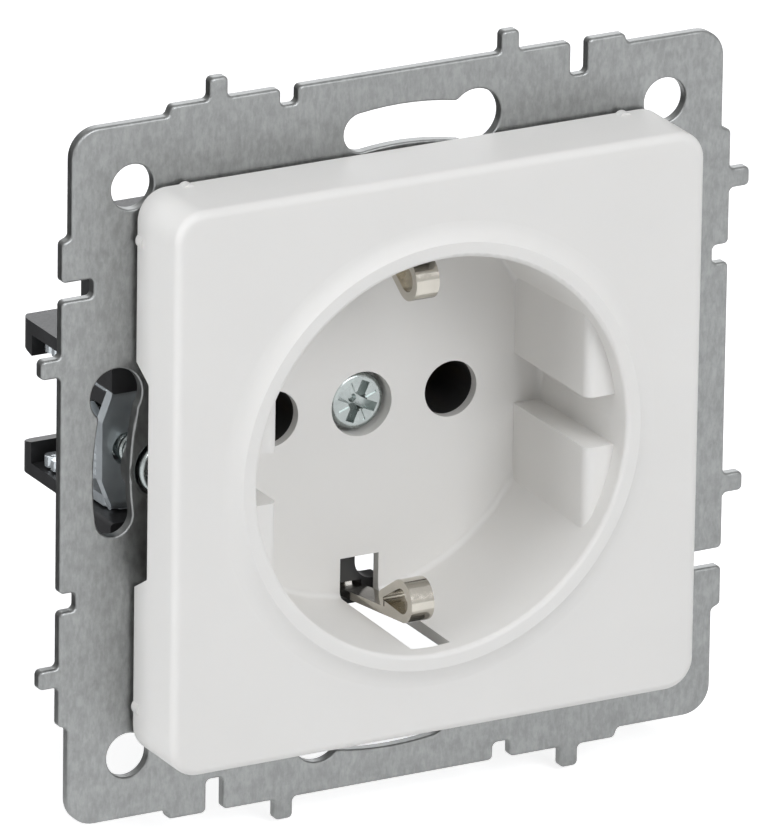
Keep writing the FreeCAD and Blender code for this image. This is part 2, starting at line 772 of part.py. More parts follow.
def earth_strap():
    """Sprung earth strip: middle plate, two arms with loops and the tail to its terminal."""
    middle = soft_box(
        -STRAP_MID_HALF, STRAP_MID_HALF, DECK_BACK_Y, STRAP_BACK_Y,
        -STRAP_MID_TO, STRAP_MID_TO, 0.8, V(0, 1, 0))
    arm = earth_arm()
    tail = box(-TAIL_HALF, TAIL_HALF, DECK_BACK_Y, TAIL_END_Y, -CLAMP_IN_Z - STRAP_T, -CLAMP_IN_Z)
    neck = box(-TAIL_HALF, TAIL_HALF, DECK_BACK_Y, STRAP_BACK_Y, -CLAMP_IN_Z, -STRAP_HALF)
    whole = fuse_all([middle, arm, mirrored_z(arm), neck, tail])
    return whole.cut(rod_y(0, 0, SCREW_SHANK_R + SCREW_PASS, DECK_BACK_Y - 1, STRAP_BACK_Y + 1))


# Base of the mechanism

def column(sx, sz):
    """Corner column under the support frame."""
    x = sx * COLUMN_AT
    inner = sz * (BASE_HALF_Z - COLUMN_SINK)
    outer = sz * (COLUMN_AT + COLUMN_HALF)
    return soft_box(
        x - COLUMN_HALF, x + COLUMN_HALF, -SEAT_DEEP, COLUMN_END_Y, inner, outer, COLUMN_R, V(0, 1, 0))


def guide_arm():
    """Upper right guide arm for a claw leg: a wall with a broad foot and an inward lip at its back."""
    root = BASE_HALF_X - BASE_WALL / 2
    wall_to = ARM_WALL_FROM + ARM_WALL_T
    lip_y = ARM_BACK_Y - ARM_LIP_T
    profile = [
        (ARM_FRONT_Y, ARM_WALL_FROM, 0),
        (lip_y, ARM_WALL_FROM, 0),
        (lip_y, ARM_LIP_TO, 0),
        (ARM_BACK_Y, ARM_LIP_TO + ARM_LIP_SLANT, 0),
        (ARM_BACK_Y, wall_to, ARM_ROUND),
        (ARM_FRONT_Y, wall_to, ARM_ROUND),
    ]
    foot_to = ARM_WALL_FROM + ARM_FOOT_H
    foot_out = ARM_OUT + ARM_FOOT_PAST
    foot = soft_box(
        root, foot_out, ARM_FRONT_Y, ARM_FOOT_BACK_Y, ARM_WALL_FROM, foot_to, ARM_ROUND, V(0, 1, 0))
    arm = prism_x(profile, root, ARM_OUT)
    plan = prism_z([
        (root, ARM_FRONT_Y, 0),
        (ARM_OUT, ARM_FRONT_Y, ARM_ROUND),
        (ARM_OUT, ARM_BACK_Y, ARM_CORNER_R),
        (root, ARM_BACK_Y, 0),
    ], 0, wall_to)
    return fuse_all([arm.common(plan), foot])


def earth_holder():
    """Upper J-shaped holder behind the earth arm."""
    out = HOLDER_OUT
    inside = BASE_HALF_Z - BASE_WALL / 2
    hook = prism_y([
        (HOLDER_LEFT, inside, 0),
        (HOLDER_LEFT, out, 0.5),
        (HOLDER_RIGHT, out, 0.5),
        (HOLDER_RIGHT, HOLDER_OPEN_TO, 0.3),
        (HOLDER_OPEN_X, HOLDER_OPEN_TO, HOLDER_OPEN_R),
        (HOLDER_OPEN_X, inside, 0),
    ], HOLDER_FRONT_Y, HOLDER_FRONT_Y + HOLDER_BAR_T)
    leg = prism_y([
        (HOLDER_LEFT, inside, 0),
        (HOLDER_LEFT, out, 0.5),
        (HOLDER_OPEN_X, out, 0),
        (HOLDER_OPEN_X, inside, 0),
    ], HOLDER_FRONT_Y, HOLDER_BACK_Y)
    return hook.fuse(leg)


def strap_channel():
    """Way for the upper earth arm through the top wall and the holder."""
    half = STRAP_HALF + STRAP_PLAY
    out = ARM_ROOT_Z + STRAP_T + STRAP_PLAY
    back = STRAP_BACK_Y + STRAP_PLAY
    flat = box(-half, half, DECK_BACK_Y, back, EARTH_ROOM_HALF, out)
    rise = box(-half, half, HOLDER_FRONT_Y - 1, back, HOLDER_OPEN_TO, out)
    return [flat, rise]


def chambers():
    """Rooms for the two live contacts and the earth terminal, open to the back."""
    inner_z = BASE_HALF_Z - BASE_WALL
    back = BASE_BACK_Y + 1
    side_from = EARTH_ROOM_HALF + PARTITION_T
    side_to = BASE_HALF_X - BASE_WALL
    rooms = [box(-EARTH_ROOM_HALF, EARTH_ROOM_HALF, DECK_BACK_Y, back, -inner_z, inner_z)]
    for sx in (-1, 1):
        rooms.append(box(sx * side_from, sx * side_to, DECK_BACK_Y, back, -inner_z, inner_z))
    return rooms


def terminal_y():
    """Depth of the terminal screws."""
    return CLAMP_FROM_Y + CLAMP_LONG / 2


def base_holes():
    """Holes in the deck and in the top and bottom walls."""
    tools = [rod_y(0, 0, BOSS_R + BOSS_PLAY, DECK_Y - 1, BOSS_END_Y + BOSS_PLAY)]
    tools.append(rod_y(0, 0, SCREW_SHANK_R + 2 * SCREW_PASS, DECK_Y, DECK_BACK_Y + 1))
    inner = BASE_HALF_Z - BASE_WALL - 0.5
    for sx in (-1, 1):
        flange = SLEEVE_R + SLEEVE_FLANGE + SLEEVE_PLAY
        tools.append(rod_y(sx * PIN_AT, 0, flange, DECK_Y - 1, DECK_Y + SLEEVE_FLANGE_T))
        tools.append(rod_y(sx * PIN_AT, 0, SLEEVE_R + SLEEVE_PLAY, DECK_Y - 1, DECK_BACK_Y + 1))
        tools.append(rod_z(sx * PIN_AT, terminal_y(), SCREW_ACCESS_R, inner, BASE_HALF_Z + 1))
    tools.append(rod_z(0, terminal_y(), SCREW_ACCESS_R, -inner, -BASE_HALF_Z - 1))
    return tools


def screw_post(sx):
    """Post inside the base for one rear cover screw."""
    return rod_y(sx * POST_X, POST_Z, POST_R, DECK_BACK_Y - 0.5, BASE_BACK_Y)


def base_block():
    """Outer block of the base."""
    half_x = BASE_HALF_X
    half_z = BASE_HALF_Z
    return soft_box(-half_x, half_x, DECK_Y, BASE_BACK_Y, -half_z, half_z, BASE_CORNER_R, V(0, 1, 0))


def well_room():
    """Space that the cover's well takes between the columns and the guides."""
    return rod_y(0, 0, WELL_R_OUT + COLUMN_WELL_PLAY, -1, DECK_Y)


def mechanism_base():
    """Black base: block with rooms, screw posts and earth holders."""
    holder = earth_holder()
    base = cut_all(base_block(), chambers())
    base = fuse_all([base, holder, mirrored_z(holder), screw_post(-1), screw_post(1)])
    tools = base_holes()
    for tool in strap_channel():
        tools += [tool, mirrored_z(tool)]
    for sx in (-1, 1):
        deep = BASE_BACK_Y - REAR_SCREW_LONG - 0.5
        tools.append(rod_y(sx * POST_X, POST_Z, REAR_SCREW_R + THREAD_PLAY, deep, BASE_BACK_Y + 1))
    return cut_all(base, tools)


def corner_column(sx, sz):
    """Column of the base with its rivet hole, outside the block."""
    rivet_hole = rod_y(sx * COLUMN_AT, sz * COLUMN_AT, RIVET_R + RIVET_PLAY, -1, RIVET_LONG + 0.5)
    return cut_all(column(sx, sz), [well_room(), base_block(), rivet_hole])


def claw_guide():
    """Right-hand guide of the claw: two arms and the ledge that the claw rocks on."""
    arm = cut_all(guide_arm(), [well_room(), base_block()])
    ledge = box(BASE_HALF_X, LEDGE_OUT, CLAW_BACK_Y, LEDGE_BACK_Y, -LEDGE_HALF_Z, LEDGE_HALF_Z)
    ledge = ledge.cut(well_room())
    return Part.makeCompound([arm, mirrored_z(arm), ledge])


def pin_sleeve():
    """Right-hand black sleeve that leads a plug pin through the deck to its contact."""
    x = PIN_AT
    tube = rod_y(x, 0, SLEEVE_R, DECK_Y, SLEEVE_END_Y)
    flange = rod_y(x, 0, SLEEVE_R + SLEEVE_FLANGE, DECK_Y, DECK_Y + SLEEVE_FLANGE_T)
    return fuse_all([tube, flange]).cut(rod_y(x, 0, PIN_HOLE_R, DECK_Y - 1, SLEEVE_END_Y + 1))


# Rear cover, its screws and the rivets

def rear_cover():
    """Back plate with paired wire entries."""
    back = BASE_BACK_Y + REAR_T
    plate = soft_box(
        -BASE_HALF_X, BASE_HALF_X, BASE_BACK_Y, back,
        -BASE_HALF_Z, BASE_HALF_Z, BASE_CORNER_R, V(0, 1, 0))
    rim = [e for e in plate.Edges if abs(e.BoundBox.YMin - back) < 1e-4]
    plate = plate.makeChamfer(0.4, rim)
    tools = []
    for side in (-1, 1):
        for sx in (-1, 1):
            x = sx * PIN_AT + side * WIRE_PITCH / 2
            tools.append(rod_y(x, WIRE_Z, WIRE_R, BASE_BACK_Y - 1, back + 1))
        z = -WIRE_Z + side * WIRE_PITCH / 2
        tools.append(rod_y(0, z, WIRE_R, BASE_BACK_Y - 1, back + 1))
        tools.append(rod_y(side * POST_X, POST_Z, REAR_SCREW_R + SCREW_PASS, BASE_BACK_Y - 1, back + 1))
    return cut_all(plate, tools)


def rear_cover_screw(sx):
    """One self-tapping screw seen from the back, with a cross recess."""
    seat = BASE_BACK_Y + REAR_T
    head = rod_y(0, 0, REAR_HEAD_R, seat, seat + REAR_HEAD_H)
    rim = [e for e in head.Edges if abs(e.BoundBox.YMin - seat - REAR_HEAD_H) < 1e-4]
    head = head.makeFillet(0.5, rim)
    shank = rod_y(0, 0, REAR_SCREW_R, BASE_BACK_Y - REAR_SCREW_LONG, seat + 0.2)
    screw = fuse_all([head, shank])
    back = seat + REAR_HEAD_H
    for i in range(2):
        bar = box(-1.4, 1.4, back - 0.8, back + 1, -0.3, 0.3)
        screw = screw.cut(turned(bar, 90 * i))
    screw.translate(V(sx * POST_X, 0, POST_Z))
    return screw


def frame_rivet(sx, sz):
    """One domed rivet that joins the frame to a column."""
    r = RIVET_HEAD_R
    h = RIVET_HEAD_H
    ball_r = (r * r + h * h) / (2 * h)
    ball = Part.makeSphere(ball_r, V(0, PLATE_FRONT_Y - h + ball_r, 0))
    head = rod_y(0, 0, r, PLATE_FRONT_Y - h, PLATE_FRONT_Y).common(ball)
    shank = rod_y(0, 0, RIVET_R, PLATE_FRONT_Y - 0.1, RIVET_LONG)
    rivet = fuse_all([head, shank])
    rivet.translate(V(sx * COLUMN_AT, 0, sz * COLUMN_AT))
    return rivet


# Live contacts

def live_contact():
    """Right-hand socket contact: flat plate, two half-round leaves and the terminal tail."""
    x = PIN_AT
    front = SLEEVE_END_Y
    back = front + CONTACT_T
    top = CLAMP_IN_Z + CONTACT_T
    plate = soft_box(
        x - CONTACT_HALF, x + CONTACT_HALF, front, back, CONTACT_LOW_Z, top, 0.6, V(0, 1, 0))
    leaves = rod_y(x, 0, CONTACT_R + LEAF_T, front, LEAF_END_Y)
    tail = box(x - LIVE_TAIL_HALF, x + LIVE_TAIL_HALF, front, TAIL_END_Y, CLAMP_IN_Z, top)
    wide = CONTACT_R + LEAF_T + 1
    slit = box(x - wide, x + wide, back + LEAF_ROOT, LEAF_END_Y + 1, -LEAF_SLIT / 2, LEAF_SLIT / 2)
    leaves = leaves.cut(slit)
    whole = fuse_all([plate, leaves, tail])
    return whole.cut(rod_y(x, 0, CONTACT_R, front - 1, LEAF_END_Y + 1))


def contact_spring():
    """Right-hand open ring that presses the leaves on the pin."""
    x = PIN_AT
    inner = CONTACT_R + LEAF_T
    end = SPRING_FROM_Y + SPRING_W
    ring = rod_y(x, 0, inner + SPRING_T, SPRING_FROM_Y, end)
    ring = ring.cut(rod_y(x, 0, inner, SPRING_FROM_Y - 1, end + 1))
    gap = box(x - SPRING_GAP / 2, x + SPRING_GAP / 2, SPRING_FROM_Y - 1, end + 1, -9, 0)
    return ring.cut(gap)


# Terminals

def terminal_clamp(x, half):
    """Cage that pulls the wire onto the contact tail, with the screw in its thick wall."""
    end = CLAMP_FROM_Y + CLAMP_LONG
    cage = soft_box(x - half, x + half, CLAMP_FROM_Y, end, CLAMP_Z, CLAMP_TOP_Z, 0.7, V(0, 1, 0))
    inner_top = CLAMP_TOP_Z - CLAMP_SCREW_WALL
    room = box(
        x - half + CLAMP_WALL, x + half - CLAMP_WALL, CLAMP_FROM_Y - 1, end + 1, CLAMP_IN_Z, inner_top)
    thread = rod_z(x, terminal_y(), TERM_R + THREAD_PLAY, inner_top - 1, CLAMP_TOP_Z + 1)
    return cage.cut(room).cut(thread)


def terminal_screw(x):
    """Slotted terminal screw, standing open."""
    seat = CLAMP_TOP_Z + TERM_HEAD_LIFT
    top = seat + TERM_HEAD_H
    y = terminal_y()
    head = rod_z(x, y, TERM_HEAD_R, seat, top)
    head = head.makeChamfer(0.3, [e for e in head.Edges if abs(e.BoundBox.ZMin - top) < 1e-4])
    shank = rod_z(x, y, TERM_R, TERM_TIP_Z, seat + 0.2)
    slot = box(x - 9, x + 9, y - TERM_SLOT_W / 2, y + TERM_SLOT_W / 2, top - TERM_SLOT_DEEP, top + 1)
    return fuse_all([head, shank]).cut(slot)


# Spreading claws

def claw_leg():
    """Upper right claw leg with a rounded, toothed tip."""
    tip_y = LEG_END_Y
    outline = [
        (LEG_FROM, HINGE_Y, 0),
        (LEG_FROM, tip_y - LEG_TAPER, 1.5),
        (LEG_TIP_FROM, tip_y, 0.8),
        (LEG_OUT, tip_y, 0.8),
        (LEG_OUT, CLAW_BACK_Y + 1.0, 1.0),
        (LEG_OUT - 1.0, HINGE_Y, 0),
    ]
    leg = prism_z(outline, CLAW_HALF_Z - LEG_T, CLAW_HALF_Z)
    for i in range(TOOTH_COUNT):
        y = tip_y - 1.6 - i * TOOTH_PITCH
        tooth = prism_z([
            (LEG_OUT - TOOTH_DEEP, y, 0),
            (LEG_OUT + 0.5, y - TOOTH_PITCH / 2, 0),
            (LEG_OUT + 0.5, y + TOOTH_PITCH / 2, 0),
        ], 0, CLAW_HALF_Z + 1)
        leg = leg.cut(tooth)
    return leg


def long_hole(r, half, y0, y1):
    """Long round-ended shape along Y at the claw's screw hole."""
    reach = half - r
    left = CLAW_HOLE_AT - reach
    right = CLAW_HOLE_AT + reach
    ends = [rod_y(left, 0, r, y0, y1), rod_y(right, 0, r, y0, y1)]
    return fuse_all(ends + [box(left, right, y0, y1, -r, r)])


def claw_tongue():
    """Serrated tongue bent back from the web's outer edge."""
    flat = prism_z([
        (CLAW_OUT - CLAW_TONGUE_T - 0.5, CLAW_WEB_Y, 0),
        (CLAW_OUT, CLAW_WEB_Y, CLAW_TONGUE_T / 2),
        (CLAW_OUT, CLAW_TONGUE_BACK_Y, 0.2),
        (CLAW_OUT - CLAW_TONGUE_T, CLAW_TONGUE_BACK_Y, 0.2),
        (CLAW_OUT - CLAW_TONGUE_T, CLAW_BACK_Y, 0),
        (CLAW_OUT - CLAW_TONGUE_T - 0.5, CLAW_BACK_Y, 0),
    ], -CLAW_HALF_Z, CLAW_HALF_Z)
    near = CLAW_TONGUE_HALF
    far = near + CLAW_TONGUE_FLARE
    tongue = flat.common(prism_x([
        (CLAW_WEB_Y, -near, 0),
        (CLAW_BACK_Y, -near, 0),
        (CLAW_TONGUE_BACK_Y, -far, 0.5),
        (CLAW_TONGUE_BACK_Y, far, 0.5),
        (CLAW_BACK_Y, near, 0),
        (CLAW_WEB_Y, near, 0),
    ], CLAW_OUT - 3, CLAW_OUT))
    count = int(near / SERRATION_PITCH)
    for i in range(-count, count + 1):
        z = i * SERRATION_PITCH
        groove = prism_y([
            (CLAW_OUT - SERRATION_DEEP, z, 0),
            (CLAW_OUT + 0.1, z - SERRATION_PITCH / 2, 0),
            (CLAW_OUT + 0.1, z + SERRATION_PITCH / 2, 0),
        ], CLAW_BACK_Y, CLAW_TONGUE_BACK_Y + 1)
        tongue = tongue.cut(groove)
    return tongue


def claw():
    """Right-hand claw: web with a long hole and two legs bent back."""
    web = prism_x([
        (CLAW_BACK_Y, -CLAW_HALF_Z, 0),
        (CLAW_WEB_Y, -CLAW_HALF_Z, CLAW_BEND_R),
        (CLAW_WEB_Y, CLAW_HALF_Z, CLAW_BEND_R),
        (CLAW_BACK_Y, CLAW_HALF_Z, 0),
    ], CLAW_HINGE_X, CLAW_OUT)
    half = CLAW_HALF_Z
    middle = CLAW_TONGUE_HALF
    web = web.common(prism_y([
        (CLAW_HINGE_X, half, 0),
        (CLAW_SHOULDER_OUT, half, 0),
        (CLAW_OUT, middle, 0),
        (CLAW_OUT, -middle, 0),
        (CLAW_SHOULDER_OUT, -half, 0),
        (CLAW_HINGE_X, -half, 0),
    ], CLAW_WEB_Y, CLAW_BACK_Y))
    knuckle = rod_z(CLAW_HINGE_X, HINGE_Y, CLAW_T / 2, -LEDGE_HALF_Z, LEDGE_HALF_Z)
    leg = claw_leg()
    collar = long_hole(
        CLAW_HOLE_R + CLAW_COLLAR_T, CLAW_HOLE_HALF + CLAW_COLLAR_T,
        CLAW_BACK_Y - 0.3, CLAW_BACK_Y + CLAW_COLLAR_H)
    whole = fuse_all([web, knuckle, leg, mirrored_z(leg), collar, claw_tongue()])
    return whole.cut(long_hole(CLAW_HOLE_R, CLAW_HOLE_HALF, CLAW_WEB_Y - 1, CLAW_BACK_Y + 2))


def claw_screw():
    """Right-hand claw screw seated in the dish of the frame."""
    head_y = DISH_FLOOR_Y - CLAW_HEAD_H
    head = rounded_head(CLAW_HEAD_R, head_y, DISH_FLOOR_Y, 0.5)
    shank = rod_y(0, 0, CLAW_SCREW_R, DISH_FLOOR_Y - 0.2, CLAW_SCREW_END_Y)
    screw = cut_all(fuse_all([head, shank]), cross_recess(head_y))
    screw.translate(V(DISH_AT, 0, 0))
    return screw


def save(shape, name):
    """Write one sub-part."""
    if len(shape.Solids) == 1:
        shape = shape.Solids[0]
    print(name, len(shape.Solids), round(shape.Volume, 1), shape.isValid())
    shape.exportStep("parts/" + name + ".step")


def main():
    """Build and write every sub-part."""
    save(support_frame(), "support_frame")
    save(cover_plate(), "cover_plate")
    save(well_floor(), "well_floor")
    save(cover_screw(), "cover_screw")
    save(earth_strap(), "earth_strap")
    save(strap_nut(), "strap_nut")
    save(mechanism_base(), "mechanism_base")
    columns = [corner_column(sx, sz) for sx in (-1, 1) for sz in (-1, 1)]
    save(Part.makeCompound(columns), "corner_columns")
    save(rear_cover(), "rear_cover")
    save(Part.makeCompound([rear_cover_screw(-1), rear_cover_screw(1)]), "rear_cover_screws")
    rivets = [frame_rivet(sx, sz) for sx in (-1, 1) for sz in (-1, 1)]
    save(Part.makeCompound(rivets), "frame_rivets")
    pairs = [
        ("claw_guide", claw_guide()),
        ("pin_sleeve", pin_sleeve()),
        ("live_contact", live_contact()),
        ("contact_spring", contact_spring()),
        ("terminal_clamp", terminal_clamp(PIN_AT, CLAMP_HALF)),
        ("terminal_screw", terminal_screw(PIN_AT)),
        ("claw", claw()),
        ("claw_screw", claw_screw()),
    ]
    for name, shape in pairs:
        save(shape, name + "_right")
        save(mirrored_x(shape), name + "_left")
    save(mirrored_z(terminal_clamp(0, CLAMP_EARTH_HALF)), "terminal_clamp_earth")
    save(mirrored_z(terminal_screw(0)), "terminal_screw_earth")


main()
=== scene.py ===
"""Type F wall socket: finishes, small details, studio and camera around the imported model."""

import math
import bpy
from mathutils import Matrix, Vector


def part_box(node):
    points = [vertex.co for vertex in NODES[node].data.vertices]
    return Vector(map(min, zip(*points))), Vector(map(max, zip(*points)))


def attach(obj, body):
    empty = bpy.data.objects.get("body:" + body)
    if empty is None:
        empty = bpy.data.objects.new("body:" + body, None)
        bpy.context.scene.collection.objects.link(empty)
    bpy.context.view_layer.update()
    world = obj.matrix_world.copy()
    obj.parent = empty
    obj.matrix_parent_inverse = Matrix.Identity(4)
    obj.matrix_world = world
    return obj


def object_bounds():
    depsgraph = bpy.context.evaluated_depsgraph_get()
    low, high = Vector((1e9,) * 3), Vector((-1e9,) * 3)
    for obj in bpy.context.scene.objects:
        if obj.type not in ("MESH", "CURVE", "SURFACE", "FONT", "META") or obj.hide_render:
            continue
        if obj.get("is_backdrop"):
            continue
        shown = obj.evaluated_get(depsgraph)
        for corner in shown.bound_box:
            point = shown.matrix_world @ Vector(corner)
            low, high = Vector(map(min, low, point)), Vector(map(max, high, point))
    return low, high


bl_info = {
    "name": "Type F wall socket",
    "version": (1, 0, 0),
    "blender": (4, 5, 0),
    "location": "3D View > Sidebar > Socket",
    "description": "Finishes, threads, studio and camera of a flush wall socket",
    "category": "Object",
}

import bmesh
import bpy
from bpy.props import FloatProperty, FloatVectorProperty, IntProperty, PointerProperty
from mathutils import Euler, Vector

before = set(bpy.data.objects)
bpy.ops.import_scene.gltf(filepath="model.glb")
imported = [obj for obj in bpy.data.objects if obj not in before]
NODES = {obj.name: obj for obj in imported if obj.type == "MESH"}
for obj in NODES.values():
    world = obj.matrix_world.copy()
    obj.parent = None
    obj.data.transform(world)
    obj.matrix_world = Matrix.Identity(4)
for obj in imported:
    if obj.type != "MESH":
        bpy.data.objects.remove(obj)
MM = 0.001

# Thread of the claw screws
SHANK_R = 1.45 * MM
THREAD_SUNK = 0.06 * MM
THREAD_END_GAP = 0.3 * MM
THREAD_FOOT = 0.42
THREAD_CREST = 0.06

# Lamps: place and size in metres
KEY_LAMP = ((0.17, -1.13, 0.7), 0.7)
SIDE_LAMP = ((-1.2, 0.1, 0.3), 0.9)
TOP_LAMP = ((-0.05, -0.4, 1.15), 0.8)
RIM_LAMP = ((0.6, 1.1, 0.5), 0.7)
SPARK_LAMP = ((-0.7, -0.9, 0.8), 0.3)
LAMP_COLOUR = (0.96, 0.975, 1.0)

# Floor, background and the painted dark reflection that metal mirrors on its left side
FLOOR_R = 9
FLOOR_STEPS = 96
FLOOR_GLOW = 0.7
FLOOR_TONE = (0.8, 0.8, 0.8)
# Painted dark reflection: tone, reach and strength of the dark that reflections alone see to the left behind
# the object
PAINTED_REFLECTION_TONE = (0.02, 0.02, 0.02, 1.0)
PAINTED_REFLECTION_REACH_FLOOR = 0.04
PAINTED_REFLECTION_REACH_WORLD = 0.3
PAINTED_REFLECTION_STRENGTH = 0.93
MIRRORED_WHITE = 0.62
WHITE = (1.0, 1.0, 1.0, 1.0)

# Camera range and sensor
SENSOR_WIDTH = 36.0
CLIP_START = 0.1
CLIP_END = 20.0

# Heights between which the claws are bent
BEND_FROM = 4.0 * MM
BEND_TO = 5.4 * MM


# Sizes and colours that a user may change

class FinishSettings(bpy.types.PropertyGroup):
    """Colours and gloss of the materials."""

    cover_white: FloatVectorProperty(
        name="Cover white", description="Colour of the white moulding", subtype="COLOR",
        size=3, min=0.0, max=1.0, default=(0.82, 0.808, 0.785))
    base_black: FloatVectorProperty(
        name="Base black", description="Colour of the black moulding", subtype="COLOR",
        size=3, min=0.0, max=1.0, default=(0.030, 0.030, 0.031))
    sheet_zinc: FloatVectorProperty(
        name="Sheet zinc", description="Colour of the zinc-coated frame", subtype="COLOR",
        size=3, min=0.0, max=1.0, default=(0.355, 0.363, 0.36))
    claw_zinc: FloatVectorProperty(
        name="Claw zinc", description="Colour of the claws", subtype="COLOR",
        size=3, min=0.0, max=1.0, default=(0.78, 0.83, 0.86))
    screw_zinc: FloatVectorProperty(
        name="Screw zinc", description="Colour of the screws", subtype="COLOR",
        size=3, min=0.0, max=1.0, default=(0.46, 0.50, 0.49))
    nickel: FloatVectorProperty(
        name="Nickel", description="Colour of the plated earth strip", subtype="COLOR",
        size=3, min=0.0, max=1.0, default=(0.60, 0.57, 0.51))
    brass: FloatVectorProperty(
        name="Brass", description="Colour of the live contacts", subtype="COLOR",
        size=3, min=0.0, max=1.0, default=(0.72, 0.52, 0.22))
    cover_roughness: FloatProperty(
        name="Cover roughness", description="Roughness of the white moulding",
        min=0.0, max=1.0, default=0.5)


class ThreadSettings(bpy.types.PropertyGroup):
    """Threads of the claw screws."""

    pitch: FloatProperty(
        name="Pitch", description="Distance between two turns of the claw screw thread",
        unit="LENGTH", default=0.7 * MM, min=0.2 * MM)
    height: FloatProperty(
        name="Height", description="How far the thread stands out of the shank",
        unit="LENGTH", default=0.16 * MM, min=0.02 * MM)
    start: FloatProperty(
        name="Start", description="Depth behind the frame where the thread begins",
        unit="LENGTH", default=2.4 * MM)
    steps: IntProperty(
        name="Steps", description="Mesh steps in one turn", default=28, min=8)


class StudioSettings(bpy.types.PropertyGroup):
    """Light, floor and camera."""

    camera_place: FloatVectorProperty(
        name="Camera place", description="Where the camera stands", subtype="TRANSLATION",
        unit="LENGTH", size=3, default=(-0.648, -1.18619, 0.49722))
    camera_turn: FloatVectorProperty(
        name="Camera turn", description="Rotation of the camera", subtype="EULER", unit="ROTATION",
        size=3, default=(math.radians(69.8169), math.radians(-0.8140), math.radians(-28.3081)))
    lens: FloatProperty(
        name="Lens", description="Focal length in millimetres for a 36 mm sensor",
        default=661.33, min=10.0)
    key_power: FloatProperty(
        name="Key power", description="Power of the large front lamp in watts", default=7.2, min=0.0)
    side_power: FloatProperty(
        name="Side power", description="Power of the lamp on the left in watts", default=9.2, min=0.0)
    top_power: FloatProperty(
        name="Top power", description="Power of the lamp above in watts", default=4.6, min=0.0)
    rim_power: FloatProperty(
        name="Rim power", description="Power of the lamp behind on the right in watts", default=2.2, min=0.0)
    spark_power: FloatProperty(
        name="Spark power", description="Power of the small lamp that glints on bends, in watts",
        default=2.4, min=0.0)
    world_light: FloatProperty(
        name="World light", description="Strength of the even light from all round", default=0.25, min=0.0)
    floor_gap: FloatProperty(
        name="Floor gap", description="Space between the lowest point and the floor",
        unit="LENGTH", default=0.5 * MM)


def settings(name):
    """One property group of the scene."""
    return getattr(bpy.context.scene, "socket_" + name)


# Material helpers

def new_material(name):
    """Material with a fresh node tree, its shader and its output."""
    material = bpy.data.materials.new(name)
    material.use_nodes = True
    tree = material.node_tree
    shader = tree.nodes["Principled BSDF"]
    return material, tree, shader


def rgba(colour, factor=1.0):
    """Colour with alpha, scaled in brightness."""
    return tuple(min(1.0, c * factor) for c in colour) + (1.0,)


def object_space(tree):
    """Coordinates of the object's own space."""
    return tree.nodes.new("ShaderNodeTexCoord").outputs["Object"]


def noise(tree, vector, scale, detail=3.0, roughness=0.5, distortion=0.0):
    """Noise texture in object space."""
    node = tree.nodes.new("ShaderNodeTexNoise")
    node.inputs["Scale"].default_value = scale
    node.inputs["Detail"].default_value = detail
    node.inputs["Roughness"].default_value = roughness
    node.inputs["Distortion"].default_value = distortion
    tree.links.new(vector, node.inputs["Vector"])
    return node.outputs["Fac"]


def ramp(tree, value, stops):
    """Colour ramp with (position, colour) stops."""
    node = tree.nodes.new("ShaderNodeValToRGB")
    elements = node.color_ramp.elements
    while len(elements) < len(stops):
        elements.new(0.5)
    for element, (position, colour) in zip(elements, stops):
        element.position = position
        element.color = colour
    tree.links.new(value, node.inputs["Fac"])
    return node.outputs["Color"]


def grey_ramp(tree, value, low, high, dark, bright):
    """Ramp from one grey to another."""
    return ramp(tree, value, [(low, (dark,) * 3 + (1.0,)), (high, (bright,) * 3 + (1.0,))])


def mix(tree, factor, a, b, blend="MIX"):
    """Mix of two colours, by a number or by a socket."""
    node = tree.nodes.new("ShaderNodeMix")
    node.data_type = "RGBA"
    node.blend_type = blend
    if isinstance(factor, float):
        node.inputs[0].default_value = factor
    else:
        tree.links.new(factor, node.inputs[0])
    for socket, value in ((node.inputs[6], a), (node.inputs[7], b)):
        if isinstance(value, tuple):
            socket.default_value = value
        else:
            tree.links.new(value, socket)
    return node.outputs[2]


def bump(tree, shader, height, strength, distance):
    """Bump from a height socket."""
    node = tree.nodes.new("ShaderNodeBump")
    node.inputs["Strength"].default_value = strength
    node.inputs["Distance"].default_value = distance
    tree.links.new(height, node.inputs["Height"])
    tree.links.new(node.outputs["Normal"], shader.inputs["Normal"])
    return node


def white_moulding():
    """Half-gloss white plastic with the faint unevenness of a moulding."""
    finish = settings("finish")
    material, tree, shader = new_material("white moulding")
    space = object_space(tree)
    cloud = noise(tree, space, 60.0, 2.0)
    tone = ramp(tree, cloud, [
        (0.3, rgba(finish.cover_white, 0.985)),
        (0.7, rgba(finish.cover_white, 1.01)),
    ])
    tree.links.new(tone, shader.inputs["Base Color"])
    grain = noise(tree, space, 5200.0, 2.0)
    rough = grey_ramp(tree, grain, 0.3, 0.7, finish.cover_roughness - 0.03, finish.cover_roughness + 0.03)
    tree.links.new(rough, shader.inputs["Roughness"])
    shader.inputs["IOR"].default_value = 1.49
    shader.inputs["Specular IOR Level"].default_value = 0.35
    shader.inputs["Subsurface Weight"].default_value = 0.08
    shader.inputs["Subsurface Radius"].default_value = (1.0, 0.9, 0.8)
    shader.inputs["Subsurface Scale"].default_value = 0.6 * MM
    bump(tree, shader, grain, 0.04, 0.02 * MM)
    return material


def black_moulding():
    """Black glass-filled plastic with a fine grain."""
    finish = settings("finish")
    material, tree, shader = new_material("black moulding")
    space = object_space(tree)
    cloud = noise(tree, space, 260.0, 4.0)
    tone = ramp(tree, cloud, [
        (0.35, rgba(finish.base_black, 0.85)),
        (0.68, rgba(finish.base_black, 1.15)),
    ])
    tree.links.new(tone, shader.inputs["Base Color"])
    grain = noise(tree, space, 3400.0, 3.0)
    tree.links.new(grey_ramp(tree, grain, 0.3, 0.7, 0.36, 0.44), shader.inputs["Roughness"])
    bump(tree, shader, grain, 0.05, 0.02 * MM)
    return material


